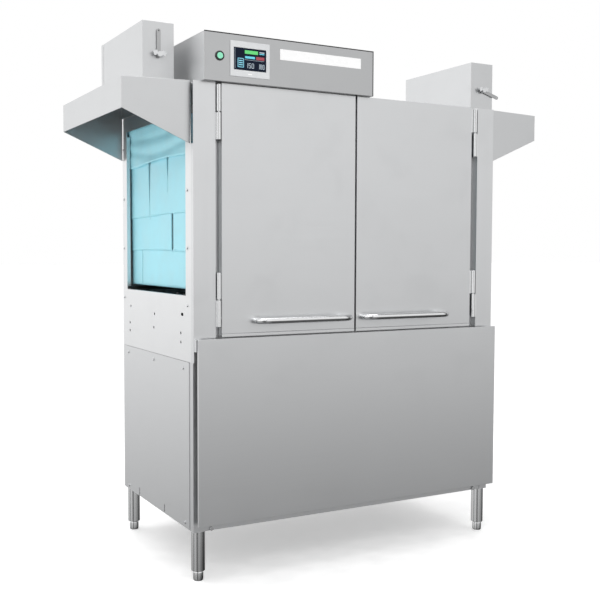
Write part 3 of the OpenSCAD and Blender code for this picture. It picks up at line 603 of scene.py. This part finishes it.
def layer_mesh(cuts, gap_at, bottom_at, top, place, cell):
    """A closed thin sheet: strips between the cuts, joined wherever the gap is nothing."""
    work = bmesh.new()
    for index in range(len(cuts) - 1):
        first, last = cuts[index], cuts[index + 1]
        columns = max(2, round((last - first) / cell))
        rows = max(4, round((top - min(bottom_at(first), bottom_at(last))) / cell))
        lattice = []
        for column in range(columns + 1):
            share = column / columns
            line = []
            for row in range(rows + 1):
                along = first + share * (last - first)
                height = top - (row / rows) * (top - bottom_at(along))
                left = gap_at(first, height) / 2 if index else 0
                right = gap_at(last, height) / 2 if index + 2 < len(cuts) else 0
                line.append(work.verts.new((0, along + left * (1 - share) - right * share, height)))
            lattice.append(line)
        for column in range(columns):
            for row in range(rows):
                work.faces.new((lattice[column][row], lattice[column + 1][row],
                                lattice[column + 1][row + 1], lattice[column][row + 1]))
    bmesh.ops.remove_doubles(work, verts=work.verts, dist=LAYER_WELD)
    work.verts.index_update()
    flat = [v.co.copy() for v in work.verts]
    faces = [[v.index for v in f.verts] for f in work.faces]
    rim = [(e.link_loops[0].vert.index, e.link_loops[0].link_loop_next.vert.index)
           for e in work.edges if len(e.link_loops) == 1]
    area = sum(f.calc_area() for f in work.faces)
    work.free()
    count = len(flat)
    verts = [place(v, LAYER_T / 2) for v in flat] + [place(v, -LAYER_T / 2) for v in flat]
    all_faces = faces + [[count + i for i in reversed(f)] for f in faces]
    all_faces += [(b, a, count + a, count + b) for a, b in rim]
    return verts, all_faces, area


def tube(x, z, front, rear, radii, sides):
    """The points and faces of an open tube along y, between an inner and an outer radius."""
    ring = [(math.cos(a), math.sin(a)) for a in (2 * math.pi * k / sides for k in range(sides))]
    verts = [(x + r * c, y, z + r * s) for y in (front, rear) for r in radii for c, s in ring]
    inner, outer, far_inner, far_outer = (sides * k for k in range(4))
    faces = []
    for k in range(sides):
        n = (k + 1) % sides
        faces += [(outer + k, far_outer + k, far_outer + n, outer + n),
                  (inner + n, far_inner + n, far_inner + k, inner + k),
                  (inner + k, outer + k, outer + n, inner + n),
                  (far_inner + n, far_outer + n, far_outer + k, far_inner + k)]
    return verts, faces


def hang_curtain(node, out, settings):
    """The four overlapping layers of one curtain, and the hem sleeve on its rod."""
    low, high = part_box(node)
    rod_z = high.z - ROD_DROP
    middle = (low.x + high.x) / 2
    front, rear = low.y, high.y
    width = rear - front
    body = body_of_node(node)
    slot_name = slot_of_node(node)
    seed = Vector((middle * 7.0, 0.0, 0.0))

    def sway(along, height, fine):
        """Wander shared by all layers, fading towards the rod, plus a little of each one's own."""
        drop = min(1.0, (rod_z - height) / SWAY_FADE)
        broad = noise.noise(seed + Vector((0, along * 9.0, height * 1.6)))
        own = noise.noise(seed + Vector((fine * 5.0, along * 14.0, height * 2.5)))
        return settings.wave * (0.55 * broad + 0.12 * own) * drop

    def at(share):
        return front + share * width

    def straight(depth, fine):
        def place(v, half):
            return Vector((middle - out * (-depth + sway(v.y, v.z, fine)) + half, v.y, v.z))
        return place

    def fold_edge(y):
        along = min(1.0, (y - front) / width * 1.05 + 0.12)
        return rod_z - FOLD_DROP + FOLD_WAVE * math.sin(math.pi * along)

    def fold(v, half):
        """The outermost layer comes over the sleeve and hangs in soft horizontal rolls."""
        drop = rod_z - v.z
        arc = WRAP_R * math.pi / 2
        if drop < arc:
            angle = drop / WRAP_R
            radius = WRAP_R + half * out
            return Vector((middle + out * radius * math.sin(angle), v.y,
                           rod_z + radius * math.cos(angle)))
        down = drop - arc
        roll = ROLL + 0.004 * math.sin(11.0 * v.y + 1.0)
        swell = ROLL_SWELL * abs(math.sin(math.pi * (down + 0.004) / roll))
        swell *= math.exp(-down / ROLL_FADE)
        flare = FLARE * max(0.0, 1 - (v.z - fold_edge(v.y)) / FLARE_HEIGHT) ** 2
        ease = min(1.0, down / 0.02)
        depth = WRAP_R + (-LAYER_DEPTH[3] - WRAP_R) * ease
        height = rod_z - down
        away = depth + swell + flare + sway(v.y, height, 3)
        return Vector((middle + out * away + half * out, v.y, height))

    def wedge(reach, drop):
        """Slit between the strips under the top fold: open at the top and closed lower down."""
        if not WEDGE_TOP < drop < reach + WEDGE_TAIL:
            return 0.0
        return WEDGE_TIP + WEDGE_OPEN * max(0.0, 1 - (drop - 0.10) / (reach - 0.08))

    # how wide each slit is at each drop below the rod
    slits = dict(zip(SLITS, (
        lambda drop: 0.015 if 0.26 < drop < 0.41 else 0.0,
        lambda drop: wedge(0.17, drop),
        lambda drop: wedge(0.25, drop),
        lambda drop: 0.0022 if drop > 0.34 else 0.0,
    )))

    def gap_at(along, height):
        share = min(slits, key=lambda s: abs(at(s) - along))
        return slits[share](rod_z - height)

    # name, slits, lower edge, and how the layer hangs; the slits go through the layers behind too
    layers = (
        ("back", SLITS, lambda y: low.z + 0.003,
         straight(-LAYER_DEPTH[0], 0)),
        ("middle", SLITS[:3],
         lambda y: rod_z - MIDDLE_DROP + MIDDLE_WAVE * math.sin(4.2 * (y - front)),
         straight(-LAYER_DEPTH[1], 1)),
        ("front", SLITS[1:3],
         lambda y: rod_z - FRONT_DROP + FRONT_WAVE * math.sin(9.0 * (y - front)),
         straight(-LAYER_DEPTH[2], 2)),
        ("fold", (), fold_edge, fold),
    )
    material = FINISHES["curtain_vinyl"]
    pieces = []
    for name, cut_at, bottom_at, place in layers:
        cuts = [at(share) for share in (0, *cut_at, 1)]
        top = rod_z if name == "fold" else rod_z - LAYER_DROP
        verts, faces, area = layer_mesh(cuts, gap_at, bottom_at, top, place, settings.cell)
        piece = new_piece(f"{node}_{name}", verts, faces, material, body, slot_name)
        flat = (round(width, 3), round(top - min(bottom_at(y) for y in cuts), 3))
        pieces.append((piece, flat, area))
    sleeve = new_piece(node + "_sleeve", *tube(middle, rod_z, front, rear, SLEEVE_R, SLEEVE_SIDES),
                       material, body, slot_name)
    for piece, flat, area in pieces:
        min(area, flat[0] * flat[1])
    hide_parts(node)


class DISH_OT_curtains(bpy.types.Operator):
    """Hang the three split curtains in overlapping layers"""

    bl_idname = "dish.curtains"
    bl_label = "Curtains"

    def execute(self, context):
        settings = context.scene.dish_curtain
        FINISHES["curtain_vinyl"] = vinyl("curtain_vinyl", tuple(settings.vinyl))
        for node, out in (("curtain_load", -1), ("curtain_centre", -1), ("curtain_unload", 1)):
            hang_curtain(node, out, settings)
        return {"FINISHED"}


# ---- operator: display ------------------------------------------------------------------

SEGMENTS = {"0": "abcdef", "1": "bc", "5": "acdfg", "8": "abcdefg"}


PLATE_PROUD = 0.0002
READOUT_GLOW = 0.55


def plates(name, rects, face_y, material, body, slot_name):
    """Thin raised plates on a front face, each given by its left, bottom, right and top."""
    verts, faces = [], []
    for x0, z0, x1, z1 in rects:
        base = len(verts)
        verts += [(x, y, z) for y in (face_y - PLATE_PROUD, face_y + PLATE_PROUD)
                  for x, z in ((x0, z0), (x1, z0), (x1, z1), (x0, z1))]
        faces += [tuple(base + i for i in f) for f in (
            (0, 1, 2, 3), (7, 6, 5, 4), (0, 4, 5, 1), (1, 5, 6, 2), (2, 6, 7, 3), (3, 7, 4, 0))]
    return new_piece(name, verts, faces, material, body, slot_name, smooth=False)


def digit_bars(text, left, bottom, width, height, stroke):
    """The bars of a row of seven-segment digits."""
    bars = []
    for place, digit in enumerate(text):
        x0 = left + place * width * 1.35
        x1, mid = x0 + width, bottom + height / 2
        lines = {
            "a": (x0, bottom + height - stroke, x1, bottom + height),
            "b": (x1 - stroke, mid, x1, bottom + height),
            "c": (x1 - stroke, bottom, x1, mid),
            "d": (x0, bottom, x1, bottom + stroke),
            "e": (x0, bottom, x0 + stroke, mid),
            "f": (x0, mid, x0 + stroke, bottom + height),
            "g": (x0, mid - stroke / 2, x1, mid + stroke / 2),
        }
        bars += [lines[s] for s in SEGMENTS[digit]]
    return bars


class DISH_OT_cover_shadow_line(bpy.types.Operator):
    """Lay the rubber rim along the top and the far edge of the control cover"""

    bl_idname = "dish.gasket"
    bl_label = "Cover shadow line"

    def execute(self, context):
        low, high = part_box("control_cover")
        rim, inset = 3.6 * MM, 0.4 * MM
        gap, depth = 0.2 * MM, 3.4 * MM
        front, rear = low.y + inset, low.y + inset + depth
        verts, faces = [], []
        section = ((low.x - inset, high.z + gap), (low.x - inset, high.z + rim),
                   (high.x + rim, high.z + rim), (high.x + rim, low.z),
                   (high.x + gap, low.z), (high.x + gap, high.z + gap))
        for y in (front, rear):
            verts += [(x, y, z) for x, z in section]
        count = len(section)
        for a, b, c, d in ((0, 1, 2, 5), (5, 2, 3, 4)):
            faces += [(a, b, c, d), (count + d, count + c, count + b, count + a)]
        faces += [((k + 1) % count, k, count + k, count + (k + 1) % count) for k in range(count)]
        # A black polymer strip standing in for the shadow gap between cover and box: painted shade.
        piece = new_piece("cover_shadow_strip", verts, faces, FINISHES["track_polymer"],
                          body_of_node("control_cover"), "track_polymer", smooth=False)
        bevel = piece.modifiers.new("rounded_edges", "BEVEL")
        bevel.width = 0.6 * MM
        bevel.segments = 2
        return {"FINISHED"}


class DISH_OT_display(bpy.types.Operator):
    """Light the read-outs of the touch screen: plain bars, boxes and numbers"""

    bl_idname = "dish.display"
    bl_label = "Display"

    def execute(self, context):
        low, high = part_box("touch_screen")
        body = body_of_node("touch_screen")

        def spot(x0, z0, x1, z1):
            """Millimetres from the lower left corner of the screen."""
            return (low.x + x0 * MM, low.z + z0 * MM, low.x + x1 * MM, low.z + z1 * MM)

        green = [spot(36, 49, 79, 59)]
        cyan = [spot(37, 35.5, 69, 42), spot(84, 50.5, 100, 53)]
        red = [spot(73, 34, 100, 43)]
        teal = [spot(13, 8, 33, 10), spot(13, 33, 33, 35), spot(13, 8, 15, 35), spot(31, 8, 33, 35),
                spot(17, 14, 29, 17), spot(17, 20, 29, 23), spot(17, 26, 29, 29)]
        white = [spot(4, 3, 4.6, 62), spot(36, 31, 100, 31.6), spot(84, 55, 100, 57.5)]
        for left, text, width in ((39, "150", 7.2), (79, "180", 5.7)):
            white += digit_bars(text, low.x + left * MM, low.z + 8 * MM, width * MM, 14 * MM,
                                1.3 * MM)
        for name, rects, color in (
            ("readout_green", green, (0.08, 0.42, 0.12)),
            ("readout_cyan", cyan, (0.09, 0.40, 0.50)),
            ("readout_red", red, (0.24, 0.035, 0.05)),
            ("readout_teal", teal, (0.16, 0.42, 0.52)),
            ("readout_white", white, (0.36, 0.42, 0.47)),
        ):
            plates(name, rects, low.y, glowing(name, color, READOUT_GLOW), body, "screen_glass")
        mark = [(high.x - 60 * MM, low.z - 12 * MM, high.x - 47 * MM, low.z - 9.5 * MM)]
        plates("bezel_mark", mark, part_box("screen_bezel")[0].y, FINISHES["label_plastic"],
               body_of_node("screen_bezel"), "bezel_plastic")
        return {"FINISHED"}


# ---- operator: stage --------------------------------------------------------------------


def soft_light(name, place, target, width, height, power):
    light = bpy.data.lights.new(name, "AREA")
    light.shape = "RECTANGLE"
    light.size, light.size_y = width, height
    light.energy = power
    lamp = bpy.data.objects.new(name, light)
    bpy.context.scene.collection.objects.link(lamp)
    lamp.location = place
    lamp.rotation_euler = (Vector(target) - Vector(place)).to_track_quat("-Z", "Y").to_euler()


# brightness of the surround by bearing in degrees, from the load end round the front
BANDS = ((2, 1.0), (30, 0.95), (48, 0.3), (62, 0.3), (78, 1.0), (140, 1.0), (158, 0.25),
         (172, 0.25), (190, 0.95), (222, 0.95), (238, 0.35), (250, 0.35), (268, 1.0), (334, 1.0),
         (346, 0.4), (356, 0.4))


def studio_world(settings):
    """Soft surround: white to the camera, shaded from floor to ceiling where it lights."""
    world = bpy.data.worlds.new("studio")
    world.use_nodes = True
    tree = world.node_tree
    tree.nodes.clear()
    coords = tree.nodes.new("ShaderNodeTexCoord")
    split = tree.nodes.new("ShaderNodeSeparateXYZ")
    tree.links.new(coords.outputs["Generated"], split.inputs[0])
    low = ramp_between(tree, split.outputs["X"], -0.4, 0.7, 4.4 * settings.low_light,
                       settings.low_light)
    rise = ramp_between(tree, split.outputs["Z"], -0.34, -0.04, low, settings.high_light)
    side = ramp_between(tree, split.outputs["X"], -1.0, 1.0, 1.3, 0.86)
    turn = math_node(tree, "ARCTAN2", split.outputs["Y"], split.outputs["X"])
    bands = tree.nodes.new("ShaderNodeValToRGB")
    bands.color_ramp.interpolation = "EASE"
    for place, value in BANDS:
        stop = bands.color_ramp.elements.new(place / 360)
        stop.color = (value, value, value, 1)
    tree.links.new(ramp_between(tree, turn, -math.pi, math.pi, 0.0, 1.0), bands.inputs["Fac"])
    shade = math_node(tree, "MULTIPLY", math_node(tree, "MULTIPLY", rise, side),
                      bands.outputs["Color"])
    soft = tree.nodes.new("ShaderNodeBackground")
    tree.links.new(shade, soft.inputs["Strength"])
    seen = tree.nodes.new("ShaderNodeBackground")
    rays = tree.nodes.new("ShaderNodeLightPath")
    mix = tree.nodes.new("ShaderNodeMixShader")
    result = tree.nodes.new("ShaderNodeOutputWorld")
    soft.inputs["Color"].default_value = seen.inputs["Color"].default_value = (1, 1, 1, 1)
    tree.links.new(rays.outputs["Is Camera Ray"], mix.inputs[0])
    tree.links.new(soft.outputs[0], mix.inputs[1])
    tree.links.new(seen.outputs[0], mix.inputs[2])
    tree.links.new(mix.outputs[0], result.inputs["Surface"])
    return world


class DISH_OT_stage(bpy.types.Operator):
    """Set up the floor, the soft studio light and the camera"""

    bl_idname = "dish.stage"
    bl_label = "Stage"

    def execute(self, context):
        settings = context.scene.dish_stage
        reach, floor_glow = 60.0, 0.42
        floor_mesh = bpy.data.meshes.new("floor")
        floor_mesh.from_pydata(
            [(-reach, -reach, 0), (reach, -reach, 0), (reach, reach, 0), (-reach, reach, 0)], [],
            [(0, 1, 2, 3)])
        floor_mesh.materials.append(glowing("floor_paint", tuple(settings.floor), floor_glow))
        floor = bpy.data.objects.new("floor", floor_mesh)
        context.scene.collection.objects.link(floor)
        floor.visible_glossy = False
        context.scene.world = studio_world(settings)
        soft_light("key", (-3.6, -4.2, 4.6), (0, 0, 0.9), 3.0, 2.4, settings.key)
        soft_light("top", (0, 0.4, 4.6), (0, 0, 0.8), 4.0, 3.0, settings.top)

        camera_data = bpy.data.cameras.new("camera")
        camera_data.lens = settings.lens
        camera_data.sensor_width = 36.0
        camera = bpy.data.objects.new("camera", camera_data)
        context.scene.collection.objects.link(camera)
        yaw, dip, roll = settings.heading, settings.dip, settings.roll
        forward = Vector((math.sin(yaw) * math.cos(dip), math.cos(yaw) * math.cos(dip),
                          -math.sin(dip)))
        right = Vector((math.cos(yaw), -math.sin(yaw), 0))
        up = right.cross(forward)
        turned_right = math.cos(roll) * right + math.sin(roll) * up
        turned_up = -math.sin(roll) * right + math.cos(roll) * up
        axes = Matrix((turned_right, turned_up, -forward)).transposed()
        camera.matrix_world = Matrix.Translation(settings.eye) @ axes.to_4x4()
        context.scene.camera = camera
        context.scene.view_settings.view_transform = "Standard"
        return {"FINISHED"}


class DISH_PT_panel(bpy.types.Panel):
    """The pieces of the dishwasher, in the sidebar"""

    bl_idname = "DISH_PT_panel"
    bl_label = "Dishwasher"
    bl_space_type = "VIEW_3D"
    bl_region_type = "UI"
    bl_category = "Dishwasher"

    def draw(self, context):
        layout = self.layout
        for name, operators in SECTIONS.items():
            box = layout.box()
            settings = getattr(context.scene, name)
            for prop in settings.bl_rna.properties:
                if prop.identifier not in ("rna_type", "name"):
                    box.prop(settings, prop.identifier)
            for operator in operators:
                box.operator(operator.bl_idname)


SECTIONS = {
    "dish_sheet": (*GROUP_OPERATORS, DISH_OT_cover_shadow_line, DISH_OT_display),
    "dish_curtain": (DISH_OT_curtains,),
    "dish_stage": (DISH_OT_stage,),
}
SETTINGS = {
    "dish_sheet": SheetSettings,
    "dish_curtain": CurtainSettings,
    "dish_stage": StageSettings,
}
CLASSES = (*SETTINGS.values(), *(op for ops in SECTIONS.values() for op in ops), DISH_PT_panel)


def register():
    for cls in CLASSES:
        bpy.utils.register_class(cls)
    for name, group in SETTINGS.items():
        setattr(bpy.types.Scene, name, PointerProperty(type=group))


def unregister():
    for name in SETTINGS:
        delattr(bpy.types.Scene, name)
    for cls in reversed(CLASSES):
        bpy.utils.unregister_class(cls)


def main():
    register()
    FINISHES.update(build_finishes(bpy.context.scene.dish_sheet))
    for operators in SECTIONS.values():
        for operator in operators:
            group, name = operator.bl_idname.split(".")
            if "FINISHED" not in getattr(getattr(bpy.ops, group), name)():
                raise RuntimeError(operator.bl_idname + " did not finish")
    for name, node in frame["nodes"].items():
        if not node.hide_render:
            node.data.materials.clear()
            node.data.materials.append(FINISHES.get(slot_of_node(name), FINISHES["wet_steel"]))
    bpy.context.view_layer.update()


if __name__ == "__main__":
    main()
